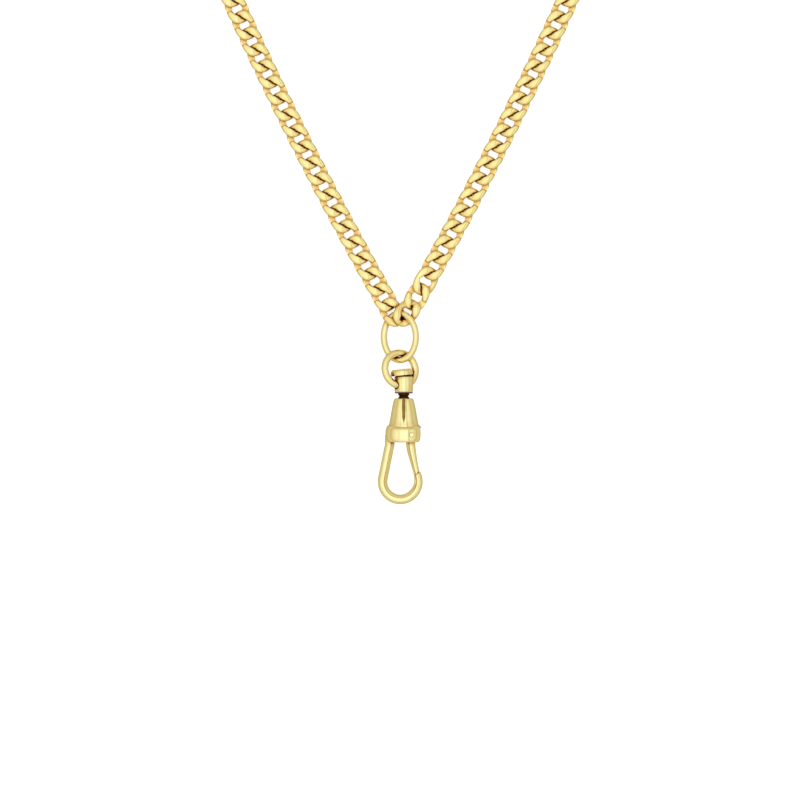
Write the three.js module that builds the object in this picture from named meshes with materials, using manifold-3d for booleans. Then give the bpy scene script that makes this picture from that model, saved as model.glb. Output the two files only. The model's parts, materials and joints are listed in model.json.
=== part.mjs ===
// A flat curb chain that closes on itself, with two rings and a swivel dog clip hanging from its middle.
// Millimetres, +Z up. The chain lies flat on the ground; the clip points along -Y.
import * as THREE from 'three';
import Module from 'manifold-3d';
import { mergeVertices } from 'three/addons/utils/BufferGeometryUtils.js';
import { ParametricGeometry } from 'three/addons/geometries/ParametricGeometry.js';

const manifold = await Module();
manifold.setup();

const { Vector3 } = THREE;
const degrees = Math.PI / 180;

// ---- driving dimensions ----

// One chain link: an oval wire loop, twisted about its long axis and ground flat on both sides.
const linkPitch = 3.168;
const linkHalfLength = 2.38;
const linkHalfWidth = 1.41;
const linkRoundness = 2.8;
const linkTwist = 60 * degrees;
const linkWire = 1.1;
const chainThickness = 1.9;
const midPlane = chainThickness / 2;

// The two strands. Headings are measured from +Y, outward, and straighten a little with each link.
const linksPerStrand = 20;
const strandHeading = 29.4 * degrees;
const strandBendPerLink = 0.27 * degrees;
const turningLinkOnRight = 2;
const leftStrandFoot = new Vector3(-2.2, 2.29, 0);
const rightStrandFoot = new Vector3(2.1, 2.31, 0);

// The rest of the neck loop: a straight stretch and then a round back, in rigid stretches.
const bandsPerSide = 3;
const linksPerBand = 25;
const bandWidth = 3.9;
const bandThickness = 1.2;
const bandGap = 0.5;
const backGap = 0.6;

// The two links that meet at the bottom of the V.
const bottomWire = 0.8;
const bottomLinks = {
  link_bottom_left: { x: -1.46, y: 1.35, lift: 0.58, heading: -43, roll: -22.5, pitch: -18 },
  link_bottom_right: { x: 1.09, y: 1.09, lift: 0.53, heading: 35.7, roll: 0, pitch: 0 },
};

// The two oval rings: lean about X, then tilt about Y, then turn about Z, in degrees.
const largeRing = {
  x: -0.12, y: -3.34, z: 1.79, halfWidth: 3.1, halfLength: 4.1, wire: 0.9, lean: -2.75, tilt: -24.5, turn: 3,
};
const smallRing = {
  x: -0.06, y: -9.09, z: 2.48, halfWidth: 3.02, halfLength: 2.95, wire: 1.1, lean: -10, tilt: 28, turn: 0,
};

// The swivel and the clip, on one axis parallel to Y.
const clipAxis = { x: 0.57, z: 2.6 };
const runningGap = 0.05;
const barrel = { top: -10.33, bottom: -13.03, radius: 1.63, slotBottom: -12.7, slotWidth: 1.5 };
const cap = { top: -8.98, bottom: -10.28, radius: 1.95, bevel: 0.35, offset: -0.45 };
const swivelPin = { radius: 0.95, headRadius: 1.3, headTop: -15.2, headLength: 0.7 };
const cavity = { radius: 1.42, top: -15.1, bottom: -16.3 };
const cone = { top: -14.17, topRadius: 1.72, bottom: -18.6, bottomRadius: 2.56 };
const collar = { top: -18.9, bottom: -21.9, radius: 3.22, halfDepth: 2.6, bevel: 0.45 };

// The hook: a pear-shaped loop of wire, open at its right shoulder.
const hook = { x: -0.05, y: -28.86, radius: 3.12, wire: 1.6, legX: -1.9, legTop: -20.6, legBend: -22.3 };
const noseAngle = 24 * degrees;

// The gate, its pin and its spring.
const gatePivot = { x: 1.95, y: -20.6 };
const gate = {
  eye: 0.95, thickness: 1.6, shoulderY: -23.4, innerX: 1.2, waistX: 2.08, waistY: -25.2, heelY: -27.1,
  tipX: 2.7, tipY: -27.4, pinRadius: 0.35, pinLength: 4.37,
};
const gateSlot = { width: 1.9, left: 0.35, top: -19.5, right: 4 };
const spring = { thickness: 0.15, width: 1.2, left: 0.45, top: -19.6, length: 1.2 };

const wireSides = 6;
const linkSegments = 16;
const ringSegments = 28;
const roundSegments = 32;
const bandSegments = 12;
const hookSides = 10;
const hookSegments = 16;

// ---- materials ----

function gold(color, roughness) {
  return new THREE.MeshStandardMaterial({ color, roughness, metalness: 1 });
}

const chainGold = 0xd9b95f;
const ringGold = 0xe2c978;
const clipGold = 0xdcc06a;
const innerGold = 0xa8833f;

// ---- helpers ----

const root = new THREE.Group();
root.name = 'neck_chain';

function addMesh(name, geometry, color, roughness = 0.25) {
  const mesh = new THREE.Mesh(geometry, gold(color, roughness));
  mesh.name = name;
  root.add(mesh);
  return mesh;
}

function toSolid(geometry) {
  const bare = geometry.clone();
  bare.deleteAttribute('normal');
  bare.deleteAttribute('uv');
  const merged = mergeVertices(bare);
  return new manifold.Manifold(new manifold.Mesh({
    numProp: 3,
    vertProperties: Float32Array.from(merged.attributes.position.array),
    triVerts: Uint32Array.from(merged.index.array),
  }));
}

function toGeometry(solid) {
  const mesh = solid.getMesh();
  const geometry = new THREE.BufferGeometry();
  geometry.setAttribute('position', new THREE.BufferAttribute(mesh.vertProperties, 3));
  geometry.setIndex(new THREE.BufferAttribute(mesh.triVerts, 1));
  geometry.computeVertexNormals();
  return geometry;
}

function cylinderY(radius, top, bottom, x = clipAxis.x, z = clipAxis.z) {
  const geometry = new THREE.CylinderGeometry(radius, radius, top - bottom, roundSegments);
  return geometry.translate(x, (top + bottom) / 2, z);
}

function cylinderZ(radius, length, x, y) {
  const geometry = new THREE.CylinderGeometry(radius, radius, length, roundSegments / 2);
  return geometry.rotateX(Math.PI / 2).translate(x, y, clipAxis.z);
}

function boxBetween(low, high) {
  const size = new Vector3().subVectors(high, low);
  const middle = new Vector3().addVectors(low, high).multiplyScalar(0.5);
  return new THREE.BoxGeometry(size.x, size.y, size.z).translate(middle.x, middle.y, middle.z);
}

// A wire swept round a closed centreline. Its top and bottom are held within halfThickness.
function closedWire(centreAt, wire, segments, halfThickness = Infinity) {
  const step = 1e-4;
  const up = new Vector3(0, 0, 1);
  const clampZ = (z) => Math.min(halfThickness, Math.max(-halfThickness, z));
  const place = (u, v, target) => {
    const centre = centreAt(u);
    const tangent = centreAt(u + step).sub(centreAt(u - step)).normalize();
    const normal = up.clone().addScaledVector(tangent, -up.dot(tangent)).normalize();
    const side = new Vector3().crossVectors(tangent, normal);
    const angle = -2 * Math.PI * (v + 0.5 / wireSides);
    target.copy(centre);
    target.addScaledVector(normal, wire / 2 * Math.cos(angle));
    target.addScaledVector(side, wire / 2 * Math.sin(angle));
    target.z = clampZ(target.z);
  };
  return new ParametricGeometry(place, segments, wireSides);
}

// ---- chain links ----

// A point of the link's centreline. twistAt gives the twist for a place from -1 to 1 along the link.
function linkCentre(twistAt) {
  const power = 2 / linkRoundness;
  const bulge = (value) => Math.sign(value) * Math.abs(value) ** power;
  return (u) => {
    const along = bulge(Math.cos(2 * Math.PI * u));
    const across = linkHalfWidth * bulge(Math.sin(2 * Math.PI * u));
    const twist = twistAt(along);
    return new Vector3(linkHalfLength * along, across * Math.cos(twist), across * Math.sin(twist));
  };
}

const handedTwist = (hand) => (along) => -hand * linkTwist * Math.tanh(along) / Math.tanh(1);
const leftHand = linkCentre(handedTwist(1));
const rightHand = linkCentre(handedTwist(-1));
const turningHand = linkCentre(() => linkTwist);

function addLink(name, centreAt, wire, position, heading) {
  const link = addMesh(name, closedWire(centreAt, wire, linkSegments, midPlane), chainGold);
  link.position.set(position.x, position.y, midPlane);
  link.rotation.z = heading;
  return link;
}

function twoDigits(number) {
  return String(number).padStart(2, '0');
}

// Walks up one strand from its foot, one pitch at a time. side is -1 on the left and 1 on the right.
function walkStrand(side, foot) {
  const joints = [foot.clone()];
  const headings = [];
  for (let i = 0; i < linksPerStrand; i += 1) {
    const heading = strandHeading - strandBendPerLink * i;
    const step = new Vector3(side * Math.sin(heading), Math.cos(heading), 0).multiplyScalar(linkPitch);
    joints.push(joints[i].clone().add(step));
    headings.push(heading);
  }
  return { side, joints, headings };
}

function addStrand(label, strand, handOf) {
  for (let i = 0; i < linksPerStrand; i += 1) {
    const middle = strand.joints[i].clone().lerp(strand.joints[i + 1], 0.5);
    const heading = strand.side * (Math.PI / 2 - strand.headings[i]);
    addLink(`link_${label}_${twoDigits(i + 1)}`, handOf(i + 1), linkWire, middle, heading);
  }
}

function rightStrandHand(number) {
  if (number < turningLinkOnRight) {
    return leftHand;
  }
  return number === turningLinkOnRight ? turningHand : rightHand;
}

const leftStrand = walkStrand(-1, leftStrandFoot);
const rightStrand = walkStrand(1, rightStrandFoot);
addStrand('left', leftStrand, () => leftHand);
addStrand('right', rightStrand, rightStrandHand);

for (const [name, at] of Object.entries(bottomLinks)) {
  const link = addLink(name, leftHand, bottomWire, new Vector3(at.x, at.y, 0), at.heading * degrees);
  link.position.z = midPlane + at.lift;
  link.rotation.set(at.roll * degrees, at.pitch * degrees, at.heading * degrees, 'ZYX');
}

// ---- the rest of the neck loop ----

// The hidden half of one side: a straight stretch and an arc that ends on the loop's centre line.
function hiddenPath(strand, centreX) {
  const { side, joints, headings } = strand;
  const start = joints[linksPerStrand];
  const heading = headings[linksPerStrand - 1];
  const length = (bandsPerSide * linksPerBand + 0.5) * linkPitch;
  const halfGap = Math.abs(start.x - centreX);
  const sweep = Math.PI / 2 + heading;
  const radius = (halfGap + length * Math.sin(heading)) / (Math.cos(heading) + sweep * Math.sin(heading));
  const straight = length - radius * sweep;
  const along = new Vector3(side * Math.sin(heading), Math.cos(heading), 0);
  const inward = new Vector3(-side * Math.cos(heading), Math.sin(heading), 0);
  const arcStart = start.clone().addScaledVector(along, straight);
  const arcCentre = arcStart.clone().addScaledVector(inward, radius);
  return {
    length,
    at(distance) {
      if (distance <= straight) {
        return { point: start.clone().addScaledVector(along, distance), normal: inward.clone() };
      }
      const turn = (distance - straight) / radius;
      const normal = inward.clone().multiplyScalar(Math.cos(turn)).addScaledVector(along, -Math.sin(turn));
      return { point: arcCentre.clone().addScaledVector(normal, -radius), normal };
    },
  };
}

function bandGeometry(path, from, to) {
  const inner = [];
  const outer = [];
  for (let i = 0; i <= bandSegments; i += 1) {
    const { point, normal } = path.at(from + (to - from) * i / bandSegments);
    inner.push(point.clone().addScaledVector(normal, bandWidth / 2));
    outer.push(point.clone().addScaledVector(normal, -bandWidth / 2));
  }
  const outline = new THREE.Shape([...inner, ...outer.reverse()].map((p) => new THREE.Vector2(p.x, p.y)));
  return new THREE.ExtrudeGeometry(outline, { depth: bandThickness, bevelEnabled: false });
}

function addBands(label, strand, centreX) {
  const path = hiddenPath(strand, centreX);
  const bandLength = linksPerBand * linkPitch;
  const linkOverhang = linkHalfLength + linkWire / 2 - linkPitch / 2;
  for (let i = 0; i < bandsPerSide; i += 1) {
    const isFirst = i === 0;
    const isLast = i === bandsPerSide - 1;
    const from = i * bandLength + (isFirst ? linkOverhang + bandGap : bandGap / 2);
    const to = isLast ? path.length - backGap / 2 : (i + 1) * bandLength - bandGap / 2;
    addMesh(`band_${label}_${i + 1}`, bandGeometry(path, from, to), chainGold);
  }
}

const centreX = (leftStrand.joints[linksPerStrand].x + rightStrand.joints[linksPerStrand].x) / 2;
addBands('left', leftStrand, centreX);
addBands('right', rightStrand, centreX);

// ---- rings ----

function addRing(name, ring) {
  const centreAt = (u) => {
    const angle = 2 * Math.PI * u;
    return new Vector3(ring.halfWidth * Math.cos(angle), ring.halfLength * Math.sin(angle), 0);
  };
  const mesh = addMesh(name, closedWire(centreAt, ring.wire, ringSegments), ringGold, 0.2);
  mesh.position.set(ring.x, ring.y, ring.z);
  mesh.rotation.set(ring.lean * degrees, ring.tilt * degrees, ring.turn * degrees, 'ZYX');
}

addRing('ring_large', largeRing);
addRing('ring_small', smallRing);

// ---- swivel ----

function addBarrel() {
  const slot = boxBetween(
    new Vector3(-2 * barrel.radius, barrel.slotBottom, -barrel.slotWidth / 2),
    new Vector3(2 * barrel.radius, barrel.top + 1, barrel.slotWidth / 2),
  );
  slot.rotateY(smallRing.tilt * degrees).translate(clipAxis.x, 0, clipAxis.z);
  const solid = toSolid(cylinderY(barrel.radius, barrel.top, barrel.bottom)).subtract(toSolid(slot));
  addMesh('swivel_barrel', toGeometry(solid), clipGold);
}

function addCap() {
  const disc = new THREE.LatheGeometry([
    new THREE.Vector2(0, cap.bottom),
    new THREE.Vector2(cap.radius, cap.bottom),
    new THREE.Vector2(cap.radius, cap.top - cap.bevel),
    new THREE.Vector2(cap.radius - cap.bevel, cap.top),
    new THREE.Vector2(0, cap.top),
  ], roundSegments).translate(clipAxis.x + cap.offset, 0, clipAxis.z);
  addMesh('swivel_cap', disc, clipGold);
}

function addSwivelPin() {
  const top = barrel.bottom - runningGap;
  const headBottom = swivelPin.headTop - swivelPin.headLength;
  const profile = [
    new THREE.Vector2(0, headBottom),
    new THREE.Vector2(swivelPin.headRadius, headBottom),
    new THREE.Vector2(swivelPin.headRadius, swivelPin.headTop),
    new THREE.Vector2(swivelPin.radius, swivelPin.headTop),
    new THREE.Vector2(swivelPin.radius, top),
    new THREE.Vector2(0, top),
  ];
  const pin = new THREE.LatheGeometry(profile, roundSegments).translate(clipAxis.x, 0, clipAxis.z);
  addMesh('swivel_pin', pin, innerGold, 0.35);
}

addBarrel();
addCap();
addSwivelPin();

// ---- clip ----

function collarBlank() {
  const profile = [
    new THREE.Vector2(0, collar.bottom),
    new THREE.Vector2(collar.radius - collar.bevel, collar.bottom),
    new THREE.Vector2(collar.radius, collar.bottom + collar.bevel),
    new THREE.Vector2(collar.radius, collar.top - collar.bevel),
    new THREE.Vector2(collar.radius - collar.bevel, collar.top),
    new THREE.Vector2(0, collar.top),
  ];
  const squash = collar.halfDepth / collar.radius;
  return new THREE.LatheGeometry(profile, roundSegments).scale(1, 1, squash).translate(clipAxis.x, 0, clipAxis.z);
}

function coneBlank() {
  const profile = [
    new THREE.Vector2(0, collar.top - collar.bevel),
    new THREE.Vector2(cone.bottomRadius, collar.top - collar.bevel),
    new THREE.Vector2(cone.bottomRadius, cone.bottom),
    new THREE.Vector2(cone.topRadius, cone.top),
    new THREE.Vector2(0, cone.top),
  ];
  return new THREE.LatheGeometry(profile, roundSegments).translate(clipAxis.x, 0, clipAxis.z);
}

function addClipBody() {
  const neckBore = cylinderY(swivelPin.radius + runningGap, cone.top + 1, cavity.top - runningGap);
  const headCavity = cylinderY(cavity.radius, cavity.top, cavity.bottom);
  const gateSpace = boxBetween(
    new Vector3(gateSlot.left, collar.bottom - 1, clipAxis.z - gateSlot.width / 2),
    new Vector3(gateSlot.right, gateSlot.top, clipAxis.z + gateSlot.width / 2),
  );
  const pinHole = cylinderZ(gate.pinRadius + runningGap, 4 * collar.halfDepth, gatePivot.x, gatePivot.y);
  const legSocket = cylinderY(hook.wire / 2 + runningGap, hook.legTop + runningGap, collar.bottom - 1, hook.legX);
  let solid = toSolid(collarBlank()).add(toSolid(coneBlank()));
  for (const cut of [neckBore, headCavity, gateSpace, pinHole, legSocket]) {
    solid = solid.subtract(toSolid(cut));
  }
  addMesh('clip_body', toGeometry(solid), clipGold);
}

// The wire's centreline runs down the left leg, round the bottom and up to the nose.
function hookPoints() {
  const centre = new Vector3(hook.x, hook.y, clipAxis.z);
  const legTop = new Vector3(hook.legX, hook.legTop, clipAxis.z);
  const legBend = new Vector3(hook.legX, hook.legBend, clipAxis.z);
  const toLeg = Math.atan2(legBend.y - centre.y, legBend.x - centre.x);
  const arcStart = toLeg + Math.acos(hook.radius / legBend.distanceTo(centre));
  const arcEnd = noseAngle + 2 * Math.PI;
  const points = [legTop, legBend];
  for (let i = 0; i <= hookSegments; i += 1) {
    const angle = arcStart + (arcEnd - arcStart) * i / hookSegments;
    const reach = new Vector3(Math.cos(angle), Math.sin(angle), 0).multiplyScalar(hook.radius);
    points.push(reach.add(centre));
  }
  return points;
}

function addHook() {
  const points = hookPoints();
  const section = new THREE.Shape();
  for (let i = 0; i < hookSides; i += 1) {
    const angle = 2 * Math.PI * i / hookSides;
    const move = i === 0 ? 'moveTo' : 'lineTo';
    section[move](hook.wire / 2 * Math.cos(angle), hook.wire / 2 * Math.sin(angle));
  }
  const curve = new THREE.CatmullRomCurve3(points, false, 'chordal');
  const steps = 2 * points.length;
  addMesh('hook', new THREE.ExtrudeGeometry(section, { extrudePath: curve, steps }), clipGold);
}

function addGate() {
  const outline = new THREE.Shape();
  outline.absarc(gatePivot.x, gatePivot.y, gate.eye, 0, Math.PI, false);
  outline.lineTo(gate.innerX, gate.shoulderY);
  outline.lineTo(gate.waistX, gate.waistY);
  outline.lineTo(gate.waistX, gate.heelY);
  outline.lineTo(gate.tipX, gate.tipY);
  outline.lineTo(gatePivot.x + gate.eye, gate.shoulderY);
  const hole = new THREE.Path();
  hole.absarc(gatePivot.x, gatePivot.y, gate.pinRadius + runningGap, 0, 2 * Math.PI, true);
  outline.holes.push(hole);
  const geometry = new THREE.ExtrudeGeometry(outline, {
    depth: gate.thickness, bevelEnabled: false, curveSegments: roundSegments / 2,
  });
  geometry.translate(0, 0, clipAxis.z - gate.thickness / 2);
  addMesh('gate', geometry, clipGold);
}

function addGatePin() {
  addMesh('gate_pin', cylinderZ(gate.pinRadius, gate.pinLength, gatePivot.x, gatePivot.y), innerGold, 0.35);
}

function addGateSpring() {
  const low = new Vector3(spring.left, spring.top - spring.length, clipAxis.z - spring.width / 2);
  const high = new Vector3(spring.left + spring.thickness, spring.top, clipAxis.z + spring.width / 2);
  addMesh('gate_spring', boxBetween(low, high), innerGold, 0.35);
}

addClipBody();
addHook();
addGate();
addGatePin();
addGateSpring();

// ---- placing: origin at the middle of the base ----

root.updateMatrixWorld(true);
const box = new THREE.Box3().setFromObject(root, true);
root.position.set(-(box.min.x + box.max.x) / 2, -(box.min.y + box.max.y) / 2, -box.min.z);
root.updateMatrixWorld(true);

export default root;
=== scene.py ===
"""A yellow gold curb neck chain with two jump rings and a swivel dog clip, seen from straight above."""

import json
import math

import bmesh
import bpy
import numpy as np
from mathutils import Euler, Matrix, Vector


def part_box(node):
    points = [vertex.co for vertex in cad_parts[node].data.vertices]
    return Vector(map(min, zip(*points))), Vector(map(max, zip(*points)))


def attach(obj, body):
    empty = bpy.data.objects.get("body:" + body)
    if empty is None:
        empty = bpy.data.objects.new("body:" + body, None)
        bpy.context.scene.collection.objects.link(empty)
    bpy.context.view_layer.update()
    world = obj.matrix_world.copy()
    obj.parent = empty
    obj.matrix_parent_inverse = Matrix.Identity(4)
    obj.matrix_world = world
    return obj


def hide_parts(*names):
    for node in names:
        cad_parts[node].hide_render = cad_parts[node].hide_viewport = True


MM = 0.001

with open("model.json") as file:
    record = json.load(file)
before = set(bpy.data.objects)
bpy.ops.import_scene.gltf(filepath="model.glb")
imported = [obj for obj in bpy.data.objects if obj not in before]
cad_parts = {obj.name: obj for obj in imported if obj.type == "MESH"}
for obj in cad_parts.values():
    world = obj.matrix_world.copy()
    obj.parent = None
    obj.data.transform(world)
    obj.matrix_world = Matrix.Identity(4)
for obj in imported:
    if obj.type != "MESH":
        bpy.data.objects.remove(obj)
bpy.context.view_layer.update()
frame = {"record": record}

# ---- driving dimensions, in millimetres, about the point where the two strands meet ----

# One link: an oval wire loop, twisted and then pressed flat. Each of its four corners is a broad lobe that
# lies on top of a neighbour or under it, and the two lobes on top at a joint meet in a slanting slot.
LINK_PITCH = 3.168
LINK_HALF_LENGTH = 2.16
LINK_HALF_WIDTH = 1.44
LINK_ROUNDNESS = 2.3
LINK_OUTLINE_POINTS = 1440
LINK_WIRE = 1.04
LOBE_RISE = 0.5
LOBE_WIDTH = 1.56
LOBE_OUTWARD = 0.05
LOBE_THICKNESS = 0.88
LOBE_SQUARENESS = 2.5
LOBE_STEEPNESS = {"across": 2.2, "along": 1.7}
SLOT_ANGLE = math.radians(36.5)
SLOT_GAP = 0.22
SLOT_CLEARANCE = 0.02
SLOT_FLOOR = 0.03
MID_PLANE = 0.95
LINK_STEPS = 120
LINK_SIDES = 28
BAND_LINK_STEPS = 80
BAND_LINK_SIDES = 20

# The two strands. Headings are measured from +Y, outward, and straighten a little with each link.
LINKS_PER_STRAND = 20
STRAND_HEADING = math.radians(29.4)
STRAND_BEND = math.radians(0.27)
TURNING_LINK_ON_RIGHT = 2
STRAND_FEET = {"left": (-2.2, 2.29), "right": (2.1, 2.31)}
SIDE_SIGN = {"left": -1, "right": 1}
BANDS_PER_SIDE = 3
LINKS_PER_BAND = 25

# The two links at the bottom of the V tip out of the plane, so the right one's lobe lies over the left one.
# Position, lift, then heading, roll and pitch in degrees, and the ends with a slot.
BOTTOM_LINKS = {
    "link_bottom_left": {
        "at": (-1.47, 0.98), "lift": 0.06, "heading": -56, "roll": 0, "pitch": -2, "slots": (-1,),
    },
    "link_bottom_right": {
        "at": (1.06, 0.92), "lift": 0.8, "heading": 46, "roll": 0, "pitch": 9, "slots": (),
    },
}

# The rings: lean about X, tilt about Y and turn about Z, in degrees.
RINGS = {
    "ring_large": {"at": (-0.12, -3.34, 1.79), "half": (3.1, 4.1), "wire": 1.12, "angles": (-2.75, -24.5, 3)},
    "ring_small": {"at": (-0.06, -9.09, 2.48), "half": (3.02, 2.95), "wire": 1.24, "angles": (-10, 28, 0)},
}
RING_STEPS = 160
RING_SIDES = 40

# The swivel and the clip turn about one axis parallel to Y.
AXIS_X = 0.57
AXIS_Z = 2.6
ROUND_SIDES = 96
BODY_SIDES = 240
EDGE_ROUNDING = 0.3
BARREL = {"top": -10.33, "bottom": -13.03, "radius": 1.63, "edge": 0.12}
RING_BORE = 1.5
RING_SWINGS = (-20, -10, 0, 10, 20)
CAP = {
    "top": -9.05, "bottom": -10.16, "radius": 1.95, "edge": 0.1, "bevel": 0.42, "bulge": (0.5, 0.35),
    "offset": -0.3, "tilt": 6,
}
CAP_NECK = 1.45
CAP_NECK_DROP = 0.3
NECK = {
    "radius": 0.98, "waist": 0.8, "groove": 0.12, "flange": 1.6, "flange_depth": 0.24, "edge": 0.06,
    "head_radius": 1.3, "head_top": -15.2, "head_length": 0.7,
}
CAVITY = {"radius": 1.42, "top": -15.1, "bottom": -16.3}
RUNNING_GAP = 0.05
OVERCUT = 1
OVERLAP = 0.1

# The clip body's outline, as (y, radius) from the neck down to the mouth of the collar.
BODY_PROFILE = [
    (-14.17, 1.0), (-14.17, 1.42), (-14.24, 1.6), (-14.42, 1.72), (-14.9, 1.86), (-15.6, 2.02),
    (-16.6, 2.2), (-17.6, 2.37), (-18.3, 2.5), (-18.62, 2.56), (-18.8, 2.62), (-18.98, 2.86),
    (-19.3, 3.08), (-19.7, 3.19), (-20.2, 3.22), (-20.9, 3.21), (-21.4, 3.14), (-21.72, 3.0),
    (-21.86, 2.88), (-21.9, 2.78),
]
PROFILE_STEP = 0.12
COLLAR_TOP = -18.9
COLLAR_BOTTOM = -21.9
COLLAR_SQUASH = 2.6 / 3.22
SQUASH_FROM = -17.6
CREASE = {"sag": 0.42, "from": -17.0, "to": -20.3}
PANEL_DEPTH = 0.04
# dark_share is the part of the flute's width that carries the painted dark reflection.
FLUTE = {
    "top": -14.3, "bottom": -18.7, "half_width": 0.31, "depth": 0.22, "lead_in": 0.1, "fade": 1.5,
    "dark_share": 0.8, "least_run": 0.01,
}
GATE_SLOT = {"width": 2.0, "left": 0.2, "top": -19.45, "right": 4.0}

# The hook: its centreline runs down the left leg, round the bottom and up to the nose.
HOOK = {"x": -0.05, "y": -28.86, "radius": 3.12, "half_width": 0.85, "half_depth": 0.85}
HOOK_LEG = [(-1.9, -20.6), (-1.9, -22.3)]
HOOK_ARC_POINTS = 120
HOOK_POINTS = 200
HOOK_SMOOTHING = 12
HOOK_END = math.radians(48)
HOOK_FLAT = 0.95
HOOK_FLAT_ANGLE = math.radians(52)
HOOK_CREASE = {"angle": math.radians(68), "half_width": math.radians(8), "depth": 0.13}
HOOK_TAPER = {"points": 46, "left": 0.5}
HOOK_SIDES = 96
NOSE_TIP = Vector((3.53, -26.97, 0.0))
NOSE_GAP = 0.02
GATE_PIVOT = (1.95, -20.6)
GATE_EYE = 0.95
GATE_EYE_EDGE = 0.08
GATE_THICKNESS = 1.6
GATE_POINTS = 70
GATE_SMOOTHING = 30
GATE_PIN = {"radius": 0.35, "length": 5.12, "edge": 0.03, "fit": 0.006}
GATE_LINE = [(1.75, -20.9), (1.78, -22.2), (1.9, -23.3), (2.36, -25.4), (2.72, -26.9), (3.0, -28.2)]
GATE_HALF_WIDTHS = [0.8, 0.82, 0.78, 0.64, 0.57, 0.52]
SPRING = {"thickness": 0.15, "width": 1.2, "left": 0.25, "top": -19.6, "length": 1.2, "edge": 0.03}

# Where the local origin lies in the row frame, from the swivel pin's place.
pin_low, pin_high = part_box("swivel_pin")
ORIGIN = Vector((
    (pin_low.x + pin_high.x) / 2 - AXIS_X * MM,
    pin_low.y - (NECK["head_top"] - NECK["head_length"]) * MM,
    (pin_low.z + pin_high.z) / 2 - AXIS_Z * MM,
))
TO_ROW = Matrix.Translation(ORIGIN) @ Matrix.Scale(MM, 4)


# ---- materials ----

# The painted shade's colour by how open the surface is, and how far off a neighbour still counts.
CREVICE_REACH = 0.8 * MM
CREVICE_SAMPLES = 8
CREVICE_SHADE_STOPS = [
    (0.25, (0.08, 0.02, 0.01)), (0.55, (0.42, 0.20, 0.10)),
    (0.78, (0.80, 0.58, 0.42)), (0.95, (1.0, 1.0, 1.0)),
]

# The noises, as (scale, detail). A stretch per axis draws the scratches out into lines.
DRIFT = (420, 2)
DRIFT_STOPS = (0.3, 0.7)
WEAR = (900, 5)
WEAR_SPREAD = (0.6, 1.5)
SCRATCHES_ALONG = (1500, 3, (1, 9, 3))
SCRATCHES_ACROSS = (1700, 3, (8, 1, 2))
SCRATCH_HEIGHT = 0.02 * MM


def new_material(name):
    """A material, its nodes and links, and its shader node."""
    material = bpy.data.materials.new(name)
    material.use_nodes = True
    nodes = material.node_tree.nodes
    return material, nodes, material.node_tree.links, nodes["Principled BSDF"]


def noise_at(nodes, links, vector, scale, detail, stretch=(1, 1, 1)):
    """A noise value from 0 to 1 at a place, finer along an axis that is stretched."""
    mapping = nodes.new("ShaderNodeMapping")
    mapping.inputs["Scale"].default_value = stretch
    links.new(vector, mapping.inputs["Vector"])
    noise = nodes.new("ShaderNodeTexNoise")
    noise.inputs["Scale"].default_value = scale
    noise.inputs["Detail"].default_value = detail
    links.new(mapping.outputs["Vector"], noise.inputs["Vector"])
    return noise.outputs["Fac"]


def ramp(nodes, links, value, stops):
    """A colour that follows a value through (position, colour) stops."""
    node = nodes.new("ShaderNodeValToRGB")
    elements = node.color_ramp.elements
    elements[0].position = stops[0][0]
    elements[0].color = (*stops[0][1], 1)
    elements[1].position = stops[-1][0]
    elements[1].color = (*stops[-1][1], 1)
    for position, colour in stops[1:-1]:
        elements.new(position).color = (*colour, 1)
    links.new(value, node.inputs["Fac"])
    return node.outputs["Color"]


def spread(nodes, links, value, low, high):
    """A value from 0 to 1 brought to between low and high."""
    node = nodes.new("ShaderNodeMapRange")
    node.inputs["To Min"].default_value = low
    node.inputs["To Max"].default_value = high
    links.new(value, node.inputs["Value"])
    return node.outputs["Result"]


def paint_crevice_shade(nodes, links, clean):
    """The clean metal's colour, darkened with painted shade where parts nearly touch."""
    crevice = nodes.new("ShaderNodeAmbientOcclusion")
    crevice.samples = CREVICE_SAMPLES
    crevice.inputs["Distance"].default_value = CREVICE_REACH
    shade_colour = ramp(nodes, links, crevice.outputs["AO"], CREVICE_SHADE_STOPS)
    mix = nodes.new("ShaderNodeMix")
    mix.data_type = "RGBA"
    mix.blend_type = "MULTIPLY"
    mix.inputs["Factor"].default_value = 1
    links.new(clean, mix.inputs["A"])
    links.new(shade_colour, mix.inputs["B"])
    return mix.outputs["Result"]


def polished_gold(name, pale, deep, roughness, scratch=0.12):
    """Polished gold alloy: a slow drift of colour, uneven polish and hairline scratches in two directions."""
    material, nodes, links, shader = new_material(name)
    shader.inputs["Metallic"].default_value = 1.0
    place = nodes.new("ShaderNodeTexCoord").outputs["Object"]
    drift = noise_at(nodes, links, place, *DRIFT)
    clean = ramp(nodes, links, drift, list(zip(DRIFT_STOPS, (deep, pale))))
    # The base colour carries painted shade in the crevices.
    links.new(paint_crevice_shade(nodes, links, clean), shader.inputs["Base Color"])
    wear = noise_at(nodes, links, place, *WEAR)
    low, high = (roughness * share for share in WEAR_SPREAD)
    links.new(spread(nodes, links, wear, low, high), shader.inputs["Roughness"])
    along = noise_at(nodes, links, place, *SCRATCHES_ALONG)
    across = noise_at(nodes, links, place, *SCRATCHES_ACROSS)
    both = nodes.new("ShaderNodeMath")
    both.operation = "ADD"
    links.new(along, both.inputs[0])
    links.new(across, both.inputs[1])
    bump = nodes.new("ShaderNodeBump")
    bump.inputs["Strength"].default_value = scratch
    bump.inputs["Distance"].default_value = SCRATCH_HEIGHT
    links.new(both.outputs["Value"], bump.inputs["Height"])
    links.new(bump.outputs["Normal"], shader.inputs["Normal"])
    return material


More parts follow.
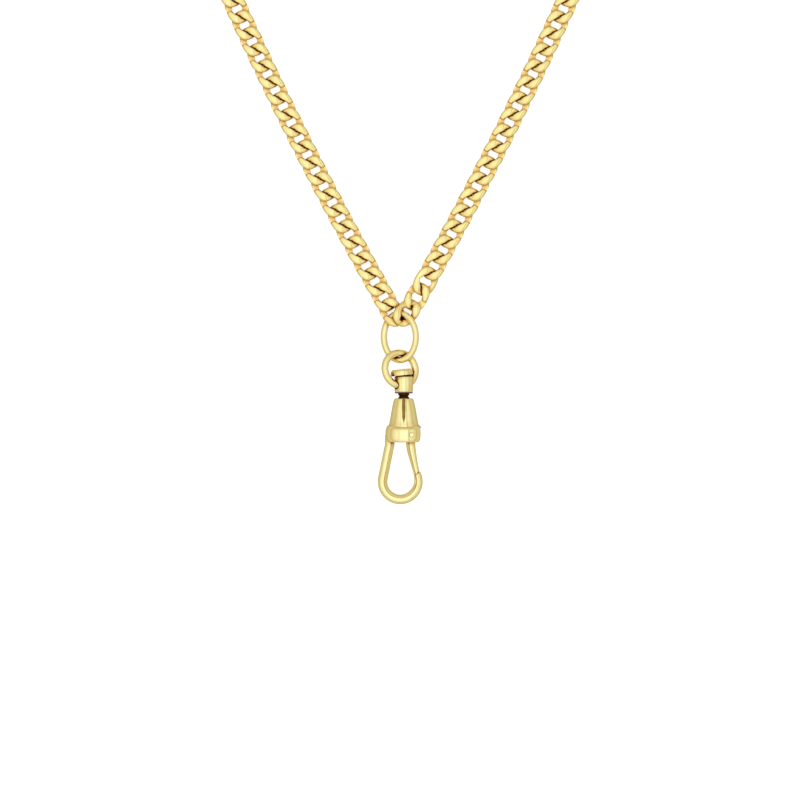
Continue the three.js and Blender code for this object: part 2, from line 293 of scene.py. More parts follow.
CHAIN_GOLD = polished_gold("chain_gold", (0.97, 0.87, 0.42), (0.93, 0.78, 0.33), 0.12)
RING_GOLD = polished_gold("ring_gold", (0.97, 0.90, 0.50), (0.93, 0.82, 0.40), 0.09)
CLIP_GOLD = polished_gold("clip_gold", (0.97, 0.92, 0.52), (0.94, 0.86, 0.43), 0.10)
# Painted reflection: a dark olive gold for the strip down the flute, standing in for the dark that the
# polished cone mirrors there.
FLUTE_REFLECTION_GOLD = polished_gold("flute_painted_reflection", (0.42, 0.32, 0.09), (0.30, 0.21, 0.05), 0.25)
# Painted shade: a near-black gold for the swivel's necks and the gate spring, which sit in shadow.
SHADE_GOLD = polished_gold("inner_gold", (0.22, 0.10, 0.05), (0.08, 0.03, 0.01), 0.30, 0.3)


# ---- mesh helpers ----

def resample(points, count, closed):
    """The same line with its points spaced evenly along it."""
    line = np.vstack([points, points[:1]]) if closed else points
    lengths = np.concatenate([[0], np.cumsum(np.linalg.norm(np.diff(line, axis=0), axis=1))])
    wanted = np.linspace(0, lengths[-1], count + 1)[:-1] if closed else np.linspace(0, lengths[-1], count)
    return np.stack([np.interp(wanted, lengths, line[:, k]) for k in range(3)], axis=1)


def smoothed(points, rounds):
    """The same open line with its bends eased and its ends kept."""
    for _ in range(rounds):
        points[1:-1] = (points[:-2] + points[1:-1] * 2 + points[2:]) / 4
    return points


def unit(vectors):
    return vectors / np.linalg.norm(vectors, axis=-1, keepdims=True)


def sweep(points, sections, up=(0, 0, 1), closed=True):
    """Sections, one per point and each a ring of (side, up) pairs, swept along a line."""
    if closed:
        tangents = np.roll(points, -1, axis=0) - np.roll(points, 1, axis=0)
    else:
        tangents = np.gradient(points, axis=0)
    tangents = unit(tangents)
    ups = np.array(up, float) - tangents * (tangents @ np.array(up, float))[:, None]
    ups = unit(ups)
    sides = np.cross(tangents, ups)
    return (
        points[:, None, :]
        + sides[:, None, :] * sections[..., 0:1]
        + ups[:, None, :] * sections[..., 1:2]
    )


def round_section(radius, sides):
    angles = np.arange(sides) * 2 * math.pi / sides
    return np.stack([radius * np.cos(angles), radius * np.sin(angles)], axis=1)


def grid_bmesh(rings, closed, capped=False):
    """A bmesh from rings of points. closed joins the last ring to the first; capped fills both ends."""
    bm = bmesh.new()
    rows = [[bm.verts.new(p) for p in ring] for ring in rings]
    count = len(rows[0])
    spans = len(rows) if closed else len(rows) - 1
    for i in range(spans):
        here = rows[i]
        there = rows[(i + 1) % len(rows)]
        for j in range(count):
            k = (j + 1) % count
            bm.faces.new((here[j], here[k], there[k], there[j]))
    if capped:
        bm.faces.new(reversed(rows[0]))
        bm.faces.new(rows[-1])
    bmesh.ops.recalc_face_normals(bm, faces=bm.faces)
    return bm


def cut(bm, point, normal, near=None):
    """Removes what lies beyond a plane and closes the cut. near limits it to vertices that it accepts."""
    verts = [v for v in bm.verts if near is None or near(v.co)]
    chosen = set(verts)
    edges = [e for e in bm.edges if all(v in chosen for v in e.verts)]
    faces = [f for f in bm.faces if all(v in chosen for v in f.verts)]
    geometry = verts + edges + faces
    result = bmesh.ops.bisect_plane(
        bm, geom=geometry, plane_co=point, plane_no=normal, clear_outer=True, dist=1e-5,
    )
    edges = [e for e in result["geom_cut"] if isinstance(e, bmesh.types.BMEdge) and e.is_boundary]
    bmesh.ops.edgeloop_fill(bm, edges=edges)
    bmesh.ops.recalc_face_normals(bm, faces=bm.faces)


def mesh_from(bm, name, sharp=35):
    mesh = bpy.data.meshes.new(name)
    bm.to_mesh(mesh)
    bm.free()
    mesh.shade_smooth()
    mesh.set_sharp_from_angle(angle=math.radians(sharp))
    return mesh


def add_piece(name, mesh, body, material, replaced, matrix=None):
    """An object in the row frame that rides on a CAD body and stands for CAD nodes."""
    piece = bpy.data.objects.new(name, mesh)
    bpy.context.scene.collection.objects.link(piece)
    if matrix is not None:
        piece.matrix_world = matrix
    if not mesh.materials:
        mesh.materials.append(material)
    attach(piece, body)
    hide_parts(*replaced)
    return piece


def add_local_piece(name, bm, body, material, replaced, sharp=35):
    """As add_piece, for a bmesh made in local millimetres."""
    bm.transform(TO_ROW)
    return add_piece(name, mesh_from(bm, name, sharp), body, material, replaced)


def boolean(bm, tool, operation="DIFFERENCE"):
    """bm with a tool bmesh cut from it or joined to it."""
    objects = []
    for part in (bm, tool):
        mesh = bpy.data.meshes.new("boolean")
        part.to_mesh(mesh)
        part.free()
        one = bpy.data.objects.new("boolean", mesh)
        bpy.context.scene.collection.objects.link(one)
        objects.append(one)
    modifier = objects[0].modifiers.new("boolean", "BOOLEAN")
    modifier.operation = operation
    modifier.solver = "EXACT"
    modifier.object = objects[1]
    graph = bpy.context.evaluated_depsgraph_get()
    result = bmesh.new()
    result.from_mesh(objects[0].evaluated_get(graph).to_mesh())
    for one in objects:
        mesh = one.data
        bpy.data.objects.remove(one)
        bpy.data.meshes.remove(mesh)
    return result


def turned(profile, x=AXIS_X, z=AXIS_Z, sides=ROUND_SIDES, capped=True):
    """A body of revolution about an axis parallel to Y, from (y, radius) pairs."""
    angles = np.arange(sides) * 2 * math.pi / sides
    rings = [
        [(x + r * math.cos(a), y, z + r * math.sin(a)) for a in angles]
        for y, r in profile
    ]
    return grid_bmesh(rings, closed=False, capped=capped)


def upright(profile, x, y, sides=ROUND_SIDES // 2):
    """A body of revolution about an axis parallel to Z, from (z, radius) pairs."""
    angles = np.arange(sides) * 2 * math.pi / sides
    rings = [
        [(x + r * math.cos(a), y + r * math.sin(a), z) for a in angles]
        for z, r in profile
    ]
    return grid_bmesh(rings, closed=False, capped=True)


def box(low, high):
    bm = bmesh.new()
    bmesh.ops.create_cube(bm, size=1)
    for vertex in bm.verts:
        for k in range(3):
            vertex.co[k] = high[k] if vertex.co[k] > 0 else low[k]
    return bm


# ---- chain links ----

def saturate(value, steepness):
    return np.tanh(steepness * value) / math.tanh(steepness)


def signed_power(value, power):
    return np.sign(value) * np.abs(value) ** power


def link_shape(ends, steps):
    """A link's centreline and, at each of its points, how far it is pressed into a lobe, from 0 to 1.

    ends gives, for the -X end and the +X end, the side of the link that is on top: 1 for +Y, -1 for -Y.
    """
    angles = np.linspace(0, 2 * math.pi, LINK_OUTLINE_POINTS, endpoint=False)
    power = 2 / LINK_ROUNDNESS
    along = signed_power(np.cos(angles), power)
    across = signed_power(np.sin(angles), power)
    toward_side = saturate(np.sin(angles), LOBE_STEEPNESS["across"])
    toward_end = saturate(np.cos(angles), LOBE_STEEPNESS["along"])
    blend = (1 + toward_end) / 2
    top_side = ends[0] * (1 - blend) + ends[1] * blend
    height = LOBE_RISE * toward_side * top_side
    pressed = np.abs(toward_side * toward_end)
    line = np.stack([LINK_HALF_LENGTH * along, LINK_HALF_WIDTH * across, height], axis=1)
    closed = np.vstack([np.column_stack([line, pressed]), [*line[0], pressed[0]]])
    lengths = np.concatenate([[0], np.cumsum(np.linalg.norm(np.diff(closed[:, :3], axis=0), axis=1))])
    wanted = np.linspace(0, lengths[-1], steps + 1)[:-1]
    spaced = np.stack([np.interp(wanted, lengths, closed[:, k]) for k in range(4)], axis=1)
    return spaced[:, :3], spaced[:, 3]


def link_sections(pressed, sides):
    """Round where the link isn't pressed; broad, low and squarer in the lobes, and broadened inward."""
    angles = np.arange(sides) * 2 * math.pi / sides
    amount = pressed[:, None]
    width = LINK_WIRE + (LOBE_WIDTH - LINK_WIRE) * amount
    thickness = LINK_WIRE + (LOBE_THICKNESS - LINK_WIRE) * amount
    power = 2 / (2 + (LOBE_SQUARENESS - 2) * amount)
    shift = LOBE_OUTWARD * amount - (width - LINK_WIRE) / 2
    side = width / 2 * signed_power(np.cos(angles)[None, :], power) + shift
    up = thickness / 2 * signed_power(np.sin(angles)[None, :], power)
    return np.stack([side, up], axis=2)


def clear_neighbour(points, end, top_side, face):
    """Keeps a link's skin, at one end and on one face, out of the lobe that lies beyond the slot."""
    top_side = top_side * face
    along = Vector((math.cos(SLOT_ANGLE), -top_side * end * math.sin(SLOT_ANGLE)))
    beyond = np.array([-along.y, along.x]) * -top_side
    joint = np.array([end * LINK_PITCH / 2, 0])
    height = points[..., 2] * face - SLOT_FLOOR
    gap = SLOT_CLEARANCE + SLOT_GAP * np.clip(height / MID_PLANE, 0, 1)
    depth = (points[..., :2] - joint) @ beyond + gap / 2
    inside = (depth > 0) & (height > 0) & (points[..., 0] * end > 0)
    aside = inside & (depth < height)
    down = inside & ~aside
    points[..., :2] -= np.where(aside, depth, 0)[..., None] * beyond
    points[..., 2] -= np.where(down, height, 0) * face


def link_bmesh(ends, steps=LINK_STEPS, sides=LINK_SIDES, slots=(-1, 1)):
    """A link about its own centre, in millimetres. slots names the ends that meet a neighbour in a slot."""
    line, pressed = link_shape(ends, steps)
    rings = sweep(line, link_sections(pressed, sides))
    for end, top_side in zip((-1, 1), ends):
        for face in (1, -1):
            if end in slots:
                clear_neighbour(rings, end, top_side, face)
    rings[..., 2] = np.clip(rings[..., 2], -MID_PLANE, MID_PLANE)
    return grid_bmesh(rings, closed=True)


def link_mesh(name, bm):
    bm.transform(Matrix.Scale(MM, 4))
    return mesh_from(bm, name)


LEFT_ENDS = (1, -1)
RIGHT_ENDS = (-1, 1)
TURNING_ENDS = (1, 1)
BACK_ENDS = (-1, -1)
LEFT_HAND = link_mesh("link_left_hand", link_bmesh(LEFT_ENDS))
RIGHT_HAND = link_mesh("link_right_hand", link_bmesh(RIGHT_ENDS))
TURNING_LINK = link_mesh("link_turning", link_bmesh(TURNING_ENDS))


def row_point(x, y, z):
    return ORIGIN + Vector((x, y, z)) * MM


def walk_strand(side):
    """The joints of one strand from its foot up, and each link's heading."""
    joints = [Vector(STRAND_FEET[side])]
    headings = []
    for i in range(LINKS_PER_STRAND):
        heading = STRAND_HEADING - STRAND_BEND * i
        step = Vector((SIDE_SIGN[side] * math.sin(heading), math.cos(heading))) * LINK_PITCH
        joints.append(joints[-1] + step)
        headings.append(heading)
    return joints, headings


def add_strand(side):
    joints, headings = walk_strand(side)
    for i in range(LINKS_PER_STRAND):
        number = i + 1
        mesh = LEFT_HAND
        if side == "right" and number == TURNING_LINK_ON_RIGHT:
            mesh = TURNING_LINK
        elif side == "right" and number > TURNING_LINK_ON_RIGHT:
            mesh = RIGHT_HAND
        middle = (joints[i] + joints[i + 1]) / 2
        turn = SIDE_SIGN[side] * (math.pi / 2 - headings[i])
        matrix = Matrix.Translation(row_point(*middle, MID_PLANE)) @ Matrix.Rotation(turn, 4, "Z")
        node = f"link_{side}_{number:02d}"
        add_piece(f"gold_{node}", mesh, node, CHAIN_GOLD, [node], matrix)


def add_bottom_links():
    for node, at in BOTTOM_LINKS.items():
        angles = [math.radians(at[k]) for k in ("roll", "pitch", "heading")]
        turn = Euler(angles, "XYZ").to_matrix().to_4x4()
        bm = link_bmesh(LEFT_ENDS, slots=at["slots"])
        bm.transform(Matrix.Translation((*at["at"], MID_PLANE + at["lift"])) @ turn)
        add_local_piece(f"gold_{node}", bm, node, CHAIN_GOLD, [node])


for strand_side in SIDE_SIGN:
    add_strand(strand_side)
add_bottom_links()


# ---- the rest of the neck loop, in rigid stretches of links ----

def hidden_path(side, centre_x):
    """The way from a strand's end to the middle of the back, by distance: a straight stretch, then an arc."""
    sign = SIDE_SIGN[side]
    joints, headings = walk_strand(side)
    start = joints[-1]
    heading = headings[-1]
    length = (BANDS_PER_SIDE * LINKS_PER_BAND + 0.5) * LINK_PITCH
    half_gap = abs(start.x - centre_x)
    swing = math.pi / 2 + heading
    radius = (half_gap + length * math.sin(heading)) / (math.cos(heading) + swing * math.sin(heading))
    straight = length - radius * swing
    along = Vector((sign * math.sin(heading), math.cos(heading)))
    inward = Vector((-sign * math.cos(heading), math.sin(heading)))
    centre = start + along * straight + inward * radius

    def at(distance):
        if distance <= straight:
            return start + along * distance
        turn = (distance - straight) / radius
        return centre - (inward * math.cos(turn) - along * math.sin(turn)) * radius

    return at


def band_bmesh(side, number, path):
    """One band's links, joined into one mesh in local millimetres."""
    whole = bmesh.new()
    first = (number - 1) * LINKS_PER_BAND
    last = first + LINKS_PER_BAND
    closes_loop = side == "left" and number == BANDS_PER_SIDE
    for i in range(first, last + (1 if closes_loop else 0)):
        here = path(i * LINK_PITCH)
        there = path((i + 1) * LINK_PITCH)
        if i == last:
            link_key = "back"
            there = Vector((2 * path((i + 0.5) * LINK_PITCH).x - here.x, here.y))
        else:
            link_key = side
        middle = (here + there) / 2
        travel = (there - here) * SIDE_SIGN[side]
        turn = math.atan2(travel.y, travel.x)
        matrix = Matrix.Translation((middle.x, middle.y, MID_PLANE)) @ Matrix.Rotation(turn, 4, "Z")
        mesh = BAND_LINKS[link_key]
        count = len(whole.verts)
        whole.from_mesh(mesh)
        whole.verts.ensure_lookup_table()
        bmesh.ops.transform(whole, matrix=matrix, verts=whole.verts[count:])
    return whole


def band_link(ends):
    mesh = bpy.data.meshes.new("band_link")
    bm = link_bmesh(ends, BAND_LINK_STEPS, BAND_LINK_SIDES)
    bm.to_mesh(mesh)
    bm.free()
    return mesh


BAND_LINKS = {
    "left": band_link(LEFT_ENDS),
    "right": band_link(RIGHT_ENDS),
    "back": band_link(BACK_ENDS),
}
back_centre = sum(walk_strand(side)[0][-1].x for side in SIDE_SIGN) / 2
for band_side in SIDE_SIGN:
    band_path = hidden_path(band_side, back_centre)
    for band_number in range(1, BANDS_PER_SIDE + 1):
        node_name = f"band_{band_side}_{band_number}"
        add_local_piece(
            f"gold_{node_name}", band_bmesh(band_side, band_number, band_path), node_name,
            CHAIN_GOLD, [node_name],
        )


# ---- rings ----

def ring_bmesh(ring, wire):
    """A ring in its place, in local millimetres, with wire of the given thickness."""
    angles = np.linspace(0, 2 * math.pi, RING_STEPS, endpoint=False)
    half_width, half_length = ring["half"]
    line = np.stack([half_width * np.cos(angles), half_length * np.sin(angles), 0 * angles], axis=1)
    section = np.broadcast_to(round_section(wire / 2, RING_SIDES), (RING_STEPS, RING_SIDES, 2))
    bm = grid_bmesh(sweep(line, section), closed=True)
    turn = Euler([math.radians(a) for a in ring["angles"]], "XYZ").to_matrix().to_4x4()
    bm.transform(Matrix.Translation(ring["at"]) @ turn)
    return bm


def add_ring(node, ring, body):
    bm = ring_bmesh(ring, ring["wire"])
    add_local_piece(f"gold_{node}", bm, body, RING_GOLD, [node])


for ring_node, ring_sizes in RINGS.items():
    add_ring(ring_node, ring_sizes, ring_node)


# ---- swivel ----

def joint_turn(name, turn):
    """A turn about a declared joint, in degrees, for points in local millimetres."""
    joint = next(j for j in frame["record"]["behaviour"]["joints"] if j["name"] == name)
    anchor = (Vector(joint["pos_m"]) - ORIGIN) / MM
    rotation = Matrix.Rotation(math.radians(turn), 4, Vector(joint["axis"]))
    return Matrix.Translation(anchor) @ rotation @ Matrix.Translation(-anchor)


def add_barrel():
    """The barrel, with room for the small ring at every angle it swings to."""
    edge = BARREL["edge"]
    rounding = edge * EDGE_ROUNDING
    radius = BARREL["radius"]
    bottom = BARREL["bottom"]
    top = BARREL["top"]
    profile = [
        (bottom, radius - edge), (bottom + rounding, radius - rounding), (bottom + edge, radius),
        (top - edge, radius), (top - rounding, radius - rounding), (top, radius - edge),
    ]
    bm = turned(profile)
    for turn in RING_SWINGS:
        room = ring_bmesh(RINGS["ring_small"], RING_BORE)
        room.transform(joint_turn("swivel_on_ring", turn))
        bm = boolean(bm, room)
    add_local_piece("gold_swivel_barrel", bm, "swivel", CLIP_GOLD, ["swivel_barrel"])


def add_cap():
    """The cap, off to one side of the barrel's axis and tilted on it."""
    edge = CAP["edge"]
    rounding = edge * EDGE_ROUNDING
    bevel = CAP["bevel"]
    bulge_down, bulge_in = (bevel * share for share in CAP["bulge"])
    radius = CAP["radius"]
    bottom = CAP["bottom"]
    top = CAP["top"]
    profile = [
        (bottom, radius - edge), (bottom + rounding, radius - rounding), (bottom + edge, radius),
        (top - bevel, radius), (top - bulge_down, radius - bulge_in), (top, radius - bevel),
    ]
    bm = turned(profile, x=AXIS_X + CAP["offset"])
    middle = Vector((AXIS_X + CAP["offset"], bottom, AXIS_Z))
    tilt = Matrix.Rotation(math.radians(CAP["tilt"]), 4, "Z")
    bm.transform(Matrix.Translation(middle) @ tilt @ Matrix.Translation(-middle))
    add_local_piece("gold_swivel_cap", bm, "swivel", CLIP_GOLD, ["swivel_cap"])


def add_cap_neck():
    """The neck that shows in the slot between the barrel and its cap, made dark with painted shade."""
    profile = [(BARREL["top"] - CAP_NECK_DROP, CAP_NECK), (CAP["bottom"] + CAP_NECK_DROP, CAP_NECK)]
    add_local_piece(
        "gold_swivel_cap_neck", turned(profile), "swivel", SHADE_GOLD, ["swivel_cap"],
    )


def add_neck():
    """The neck pin: a flange under the barrel, a grooved neck, and a head inside the clip body."""
    edge = NECK["edge"]
    flange = NECK["flange"]
    radius = NECK["radius"]
    groove = NECK["groove"]
    flange_top = BARREL["bottom"] - RUNNING_GAP
    flange_bottom = flange_top - NECK["flange_depth"]
    groove_top = (flange_top + BODY_PROFILE[0][0]) / 2
    head_bottom = NECK["head_top"] - NECK["head_length"]
    profile = [
        (flange_top, flange - edge), (flange_top - edge, flange),
        (flange_bottom + edge, flange), (flange_bottom, flange - edge),
        (flange_bottom, radius), (groove_top, radius),
        (groove_top - groove, NECK["waist"]), (groove_top - 2 * groove, NECK["waist"]),
        (groove_top - 3 * groove, radius),
        (NECK["head_top"], radius), (NECK["head_top"], NECK["head_radius"]),
        (head_bottom, NECK["head_radius"]),
    ]
    # The neck pin is made dark with painted shade.
    add_local_piece("gold_swivel_neck", turned(profile), "swivel", SHADE_GOLD, ["swivel_pin"])


add_barrel()
add_cap()
add_cap_neck()
add_neck()


# ---- clip ----

def smooth_step(value, low, high):
    t = min(1.0, max(0.0, (value - low) / (high - low)))
    return t * t * (3 - 2 * t)


def flute_run(y):
    """How much of the flute's width and depth is left at a height, from 1 down to 0 at its foot."""
    return 1 - smooth_step(-y, -FLUTE["bottom"] - FLUTE["fade"], -FLUTE["bottom"])


def body_point(y, radius, angle):
    """A point of the clip body's skin: a round cone with a flute, an oval collar with two flat panels."""
    in_collar = smooth_step(-y, -SQUASH_FROM, -COLLAR_TOP)
    squash = 1 + (COLLAR_SQUASH - 1) * in_collar
    x = radius * math.cos(angle)
    z = radius * squash * math.sin(angle)
    if y < COLLAR_TOP:
        flat = radius * squash - PANEL_DEPTH
        z = max(-flat, min(flat, z))
    elif z > 0:
        lead_in = FLUTE["lead_in"]
        run = smooth_step(-y, -FLUTE["top"] - lead_in, -FLUTE["top"] + lead_in) * flute_run(y)
        share = abs(x) / (FLUTE["half_width"] * max(run, FLUTE["least_run"]))
        z -= FLUTE["depth"] * run * max(0.0, 1 - share ** 2)
    sag = CREASE["sag"] * smooth_step(-y, -CREASE["from"], -COLLAR_TOP)
    sag *= 1 - smooth_step(-y, -COLLAR_TOP, -CREASE["to"])
    y -= sag * (1 - (x / radius) ** 2)
    return (AXIS_X + x, y, AXIS_Z + z)


def in_flute_reflection(point):
    """Whether a point of the clip body's skin lies in the painted dark reflection along the flute's floor."""
    reach = FLUTE["half_width"] * flute_run(point.y) * FLUTE["dark_share"]
    return point.z > AXIS_Z and point.y < FLUTE["top"] and abs(point.x - AXIS_X) < reach


def dense_profile(profile, step=PROFILE_STEP):
    """The same (y, radius) pairs with more between them, about a step apart."""
    result = []
    for (y0, r0), (y1, r1) in zip(profile, profile[1:]):
        count = max(1, round(math.hypot(y1 - y0, r1 - r0) / step))
        result += [(y0 + (y1 - y0) * k / count, r0 + (r1 - r0) * k / count) for k in range(count)]
    return result + [profile[-1]]


def pin_hole(gap):
    """A cutting tool for the gate pin's hole, longer than the clip is thick."""
    radius = GATE_PIN["radius"] + gap
    return upright([(-OVERCUT, radius), (2 * AXIS_Z + OVERCUT, radius)], *GATE_PIVOT)


def add_clip_body():
    """The cone and collar in one, with the neck's bore and cavity, the gate's slot and the pin's hole."""
    angles = np.arange(BODY_SIDES) * 2 * math.pi / BODY_SIDES
    rings = [[body_point(y, r, a) for a in angles] for y, r in dense_profile(BODY_PROFILE)]
    bm = grid_bmesh(rings, closed=False, capped=True)
    bore_radius = NECK["radius"] + RUNNING_GAP
    bore = turned([(BODY_PROFILE[0][0] + OVERCUT, bore_radius), (CAVITY["top"] - OVERLAP, bore_radius)])
    cavity = turned([(CAVITY["top"], CAVITY["radius"]), (CAVITY["bottom"], CAVITY["radius"])])
    half = GATE_SLOT["width"] / 2
    slot = box(
        (GATE_SLOT["left"], COLLAR_BOTTOM - OVERCUT, AXIS_Z - half),
        (GATE_SLOT["right"], GATE_SLOT["top"], AXIS_Z + half),
    )
    for tool in (bore, cavity, slot, pin_hole(GATE_PIN["fit"])):
        bm = boolean(bm, tool)
    body = add_local_piece("gold_clip_body", bm, "clip", CLIP_GOLD, ["clip_body"], sharp=28)
    # The flute's floor takes the painted reflection.
    body.data.materials.append(FLUTE_REFLECTION_GOLD)
    for face in body.data.polygons:
        face.material_index = int(in_flute_reflection((face.center - ORIGIN) / MM))


def flatted_section(half_width, half_depth, sides):
    """A round section with an upper and a lower flat on its inner side, +side, and a crease by each."""
    rows = []
    for k in range(sides):
        angle = 2 * math.pi * k / sides
        reach = 1.0
        for flat_angle in (HOOK_FLAT_ANGLE, -HOOK_FLAT_ANGLE):
            facing = math.cos(angle - flat_angle)
            if facing > 0:
                reach = min(reach, HOOK_FLAT / facing)
        off_crease = abs(abs(math.remainder(angle, 2 * math.pi)) - HOOK_CREASE["angle"])
        reach -= HOOK_CREASE["depth"] * max(0.0, 1 - off_crease / HOOK_CREASE["half_width"])
        rows.append((half_width * reach * math.cos(angle), half_depth * reach * math.sin(angle)))
    return np.array(rows)


def hook_line():
    """The hook's centreline, from inside the collar down the leg and round to the nose."""
    centre = Vector((HOOK["x"], HOOK["y"]))
    bend = Vector(HOOK_LEG[1])
    to_leg = math.atan2(bend.y - centre.y, bend.x - centre.x)
    start = to_leg + math.acos(HOOK["radius"] / (bend - centre).length)
    angles = np.linspace(start, HOOK_END + 2 * math.pi, HOOK_ARC_POINTS)
    arc = np.stack([
        centre.x + HOOK["radius"] * np.cos(angles),
        centre.y + HOOK["radius"] * np.sin(angles),
        np.full(len(angles), AXIS_Z),
    ], axis=1)
    leg = np.array([(*p, AXIS_Z) for p in HOOK_LEG])
    return smoothed(resample(np.vstack([leg, arc]), HOOK_POINTS, closed=False), HOOK_SMOOTHING)


def cut_at_nose(bm, keep_nose):
    """Cuts along the slanting face where the gate meets the nose, and keeps one side."""
    normal = Vector((-1, 1, 0)).normalized()
    side = 1 if keep_nose else -1
    point = NOSE_TIP - normal * side * NOSE_GAP / 2
    cut(bm, point, normal * side, near=lambda co: co.x > HOOK["x"] + HOOK["radius"] / 2)


def add_hook():
    """The hook's wire, narrowing on its inner side towards the nose."""
    points = hook_line()
    section = flatted_section(HOOK["half_width"], HOOK["half_depth"], HOOK_SIDES)
    sections = np.tile(section * (-1, 1), (len(points), 1, 1))
    taper = np.interp(np.arange(len(points))[::-1], (0, HOOK_TAPER["points"]), (HOOK_TAPER["left"], 1))
    sections[..., 0] *= np.where(sections[..., 0] < 0, taper[:, None], 1)
    rings = sweep(points, sections, closed=False)
    bm = grid_bmesh(rings, closed=False, capped=True)
    cut_at_nose(bm, keep_nose=True)
    add_local_piece("gold_hook", bm, "clip", CLIP_GOLD, ["hook"], sharp=20)


def add_gate():
    """The gate: a tapering tongue with an eye round the pin, inside the collar."""
    rough_line = np.array([(*p, AXIS_Z) for p in GATE_LINE])
    line = smoothed(resample(rough_line, GATE_POINTS, closed=False), GATE_SMOOTHING)
    heights = [y for _, y in GATE_LINE][::-1]
    widths = np.interp(line[:, 1], heights, GATE_HALF_WIDTHS[::-1])
    base = flatted_section(1, 1, HOOK_SIDES)
    sections = np.stack([base * (w, min(w, GATE_THICKNESS / 2)) for w in widths])
    bm = grid_bmesh(sweep(line, sections, closed=False), closed=False, capped=True)
    cut_at_nose(bm, keep_nose=False)
    half = GATE_THICKNESS / 2
    edge = GATE_EYE_EDGE
    eye = upright([
        (AXIS_Z - half, GATE_EYE - edge), (AXIS_Z - half + edge, GATE_EYE),
        (AXIS_Z + half - edge, GATE_EYE), (AXIS_Z + half, GATE_EYE - edge),
    ], *GATE_PIVOT)
    bm = boolean(bm, eye, "UNION")
    bm = boolean(bm, pin_hole(RUNNING_GAP))
    add_local_piece("gold_gate", bm, "gate", CLIP_GOLD, ["gate"], sharp=20)


def add_gate_pin():
    reach = GATE_PIN["length"] / 2
    radius = GATE_PIN["radius"]
    edge = GATE_PIN["edge"]
    bm = upright([
        (AXIS_Z - reach, radius - edge), (AXIS_Z - reach + edge, radius),
        (AXIS_Z + reach - edge, radius), (AXIS_Z + reach, radius - edge),
    ], *GATE_PIVOT)
    add_local_piece("gold_gate_pin", bm, "clip", CLIP_GOLD, ["gate_pin"])


def add_gate_spring():
    bm = box(
        (SPRING["left"], SPRING["top"] - SPRING["length"], AXIS_Z - SPRING["width"] / 2),
        (SPRING["left"] + SPRING["thickness"], SPRING["top"], AXIS_Z + SPRING["width"] / 2),
    )
    bmesh.ops.bevel(bm, geom=bm.edges[:], offset=SPRING["edge"], segments=2, affect="EDGES")
    # The spring is made dark with painted shade.
    add_local_piece("gold_gate_spring", bm, "clip", SHADE_GOLD, ["gate_spring"])


add_clip_body()
add_hook()
add_gate()
add_gate_pin()
add_gate_spring()


# ---- studio ----

CAMERA_AT = (-0.04 * MM, -122.34 * MM)
VIEW_WIDTH = 141.2 * MM
CAMERA_HEIGHT = 0.9
CAMERA_NEAREST = 0.01
SENSOR = 36.0
FLOOR_HALF_SIZE = 4
FLOOR_GREY = (0.5, 0.5, 0.5, 1)
FLOOR_GLOW = 0.8
WHITE = (1, 1, 1, 1)
SOFTBOX = {"at": (-0.6, 0.3, 0.9), "aim": (0, -0.1, 0), "size": (0.8, 0.8), "energy": 2.5}


def add_floor():
    """A plain pale table, left out of what the metal mirrors."""
    bm = bmesh.new()
    bmesh.ops.create_grid(bm, x_segments=1, y_segments=1, size=FLOOR_HALF_SIZE)
    mesh = bpy.data.meshes.new("floor")
    bm.to_mesh(mesh)
    bm.free()
    floor = bpy.data.objects.new("floor", mesh)
    bpy.context.scene.collection.objects.link(floor)
    material, _, _, shader = new_material("white_table")
    shader.inputs["Base Color"].default_value = FLOOR_GREY
    shader.inputs["Roughness"].default_value = 0.9
    shader.inputs["Specular IOR Level"].default_value = 0.1
    shader.inputs["Emission Color"].default_value = WHITE
    shader.inputs["Emission Strength"].default_value = FLOOR_GLOW
    mesh.materials.append(material)
    floor.visible_glossy = False


def add_softbox():
    """One soft light from the upper left, for the table's shadows, left out of what the metal mirrors."""
    light = bpy.data.lights.new("softbox", "AREA")
    light.shape = "RECTANGLE"
    light.size, light.size_y = SOFTBOX["size"]
    light.energy = SOFTBOX["energy"]
    softbox = bpy.data.objects.new("softbox", light)
    softbox.location = SOFTBOX["at"]
    softbox.visible_glossy = False
    aim = Vector(SOFTBOX["aim"]) - Vector(SOFTBOX["at"])
    softbox.rotation_euler = aim.to_track_quat("-Z", "Y").to_euler()
    bpy.context.scene.collection.objects.link(softbox)


# The tent's colour by height, from 0 straight below the object to 1 straight above. The metal mirrors the
# lower half too, since the table is left out of its reflections.
TENT_STOPS = [
    (0.0, (0.50, 0.42, 0.27)), (0.25, (0.62, 0.55, 0.38)), (0.5, (0.74, 0.66, 0.50)),
    (0.6, (0.62, 0.50, 0.34)), (0.75, (0.88, 0.80, 0.66)), (0.91, (1.04, 1.02, 0.95)),
    (1.0, (1.14, 1.14, 1.09)),
]
# Dim gaps between the tent's panels: middle and half size across and along, softness, and the light left.
TENT_GAPS = [
    ((0.44, 0.0), (0.04, 0.70), 0.14, 0.40),
    ((-0.42, 0.0), (0.03, 0.60), 0.12, 0.72),
]


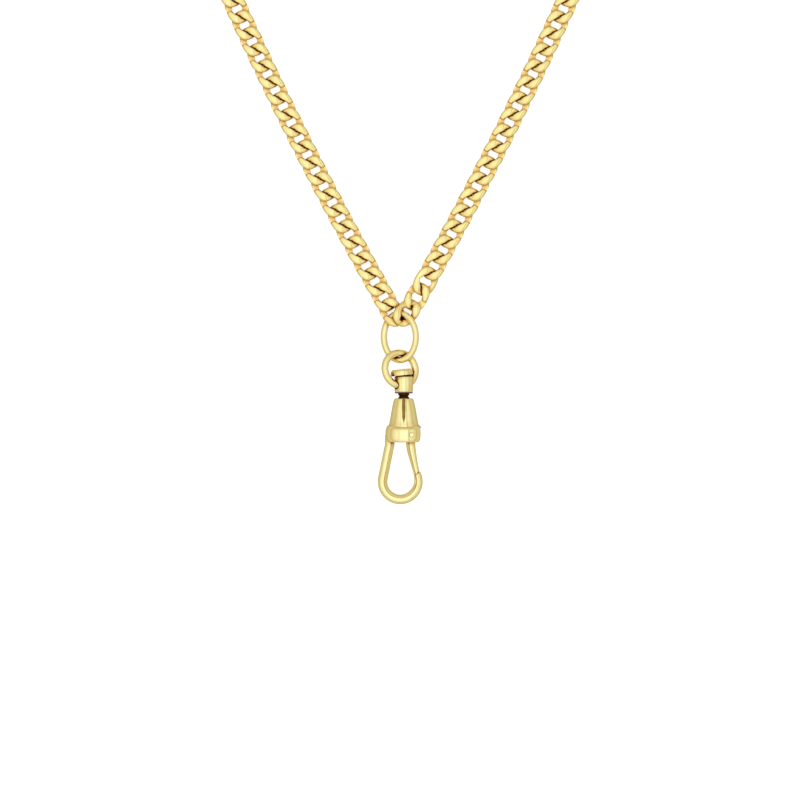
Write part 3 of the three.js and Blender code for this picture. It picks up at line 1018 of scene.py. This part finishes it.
def darken_gap(nodes, links, light, split, middle, half, softness, left):
    """The tent's light with one soft-edged rectangle of it dimmed."""
    inside = None
    for axis, at, reach in zip("XY", middle, half):
        offset = nodes.new("ShaderNodeMath")
        offset.operation = "SUBTRACT"
        links.new(split.outputs[axis], offset.inputs[0])
        offset.inputs[1].default_value = at
        distance = nodes.new("ShaderNodeMath")
        distance.operation = "ABSOLUTE"
        links.new(offset.outputs["Value"], distance.inputs[0])
        edge = nodes.new("ShaderNodeMapRange")
        edge.interpolation_type = "SMOOTHSTEP"
        edge.inputs["From Min"].default_value = reach - softness / 2
        edge.inputs["From Max"].default_value = reach + softness / 2
        edge.inputs["To Min"].default_value = 1
        edge.inputs["To Max"].default_value = 0
        links.new(distance.outputs["Value"], edge.inputs["Value"])
        if inside is None:
            inside = edge.outputs["Result"]
            continue
        both = nodes.new("ShaderNodeMath")
        both.operation = "MULTIPLY"
        links.new(inside, both.inputs[0])
        links.new(edge.outputs["Result"], both.inputs[1])
        inside = both.outputs["Value"]
    shade = nodes.new("ShaderNodeMapRange")
    shade.inputs["To Min"].default_value = 1
    shade.inputs["To Max"].default_value = left
    links.new(inside, shade.inputs["Value"])
    dimmed = nodes.new("ShaderNodeVectorMath")
    dimmed.operation = "SCALE"
    links.new(light, dimmed.inputs[0])
    links.new(shade.outputs["Result"], dimmed.inputs["Scale"])
    return dimmed.outputs["Vector"]


def add_world():
    """A pale tent, dimmer away from its top, that the metal mirrors. The camera itself sees plain white."""
    world = bpy.data.worlds.new("tent")
    world.use_nodes = True
    bpy.context.scene.world = world
    nodes = world.node_tree.nodes
    links = world.node_tree.links
    direction = nodes.new("ShaderNodeTexCoord").outputs["Generated"]
    split = nodes.new("ShaderNodeSeparateXYZ")
    links.new(direction, split.inputs["Vector"])
    height = nodes.new("ShaderNodeMapRange")
    height.inputs["From Min"].default_value = -1
    links.new(split.outputs["Z"], height.inputs["Value"])
    light = ramp(nodes, links, height.outputs["Result"], TENT_STOPS)
    for gap in TENT_GAPS:
        light = darken_gap(nodes, links, light, split, *gap)
    seen = nodes.new("ShaderNodeLightPath").outputs["Is Camera Ray"]
    mix = nodes.new("ShaderNodeMix")
    mix.data_type = "RGBA"
    links.new(seen, mix.inputs["Factor"])
    links.new(light, mix.inputs["A"])
    mix.inputs["B"].default_value = WHITE
    links.new(mix.outputs["Result"], nodes["Background"].inputs["Color"])
    nodes["Background"].inputs["Strength"].default_value = 1.0


def add_camera():
    data = bpy.data.cameras.new("camera")
    data.sensor_width = SENSOR
    data.lens = SENSOR * CAMERA_HEIGHT / VIEW_WIDTH
    data.clip_start = CAMERA_NEAREST
    camera = bpy.data.objects.new("camera", data)
    camera.location = (*CAMERA_AT, CAMERA_HEIGHT)
    bpy.context.scene.collection.objects.link(camera)
    bpy.context.scene.camera = camera


add_floor()
add_world()
add_softbox()
add_camera()
bpy.context.scene.view_settings.view_transform = "Standard"
